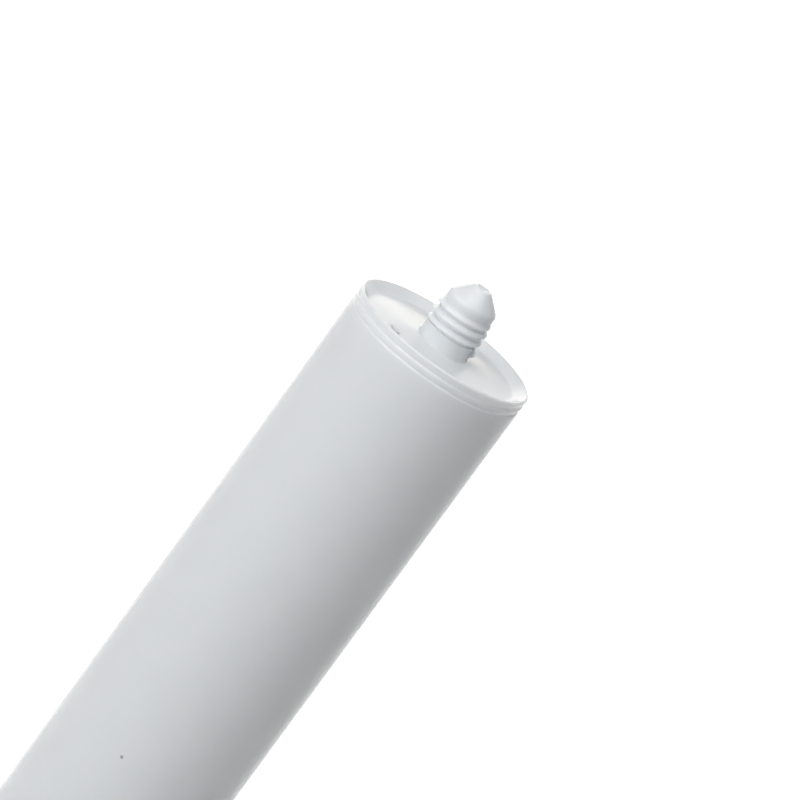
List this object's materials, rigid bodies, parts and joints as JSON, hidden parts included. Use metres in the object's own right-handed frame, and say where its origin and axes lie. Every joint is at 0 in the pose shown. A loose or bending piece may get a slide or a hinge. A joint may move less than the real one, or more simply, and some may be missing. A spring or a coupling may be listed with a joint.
{
  "type": "caulk cartridge",
  "caption": "Upright plastic caulk cartridge with a beaded rim, shallow cone shoulder, closed threaded spout, sealant filling and a sliding piston.",
  "frame": {"origin": "centre of the open back rim, in the plane that the cartridge stands on", "axes": "+Z along the barrel's axis towards the spout, -Y is the side that faces the camera in the picture"},
  "size_m": [0.0496, 0.0496, 0.2163],
  "materials": {
    "body_plastic": "satin",
    "piston_plastic": "satin",
    "sealant": "gloss"
  },
  "bodies": {
    "barrel": {"cartridge_body": "body_plastic", "sealant": "sealant"},
    "piston": {"piston": "piston_plastic"}
  },
  "joints": [
    {"name": "piston_slide", "type": "slide", "parent": "barrel", "child": "piston", "axis": [0, 0, 1], "range_m": [0, 0.1684], "deforming": ["sealant"]}
  ]
}
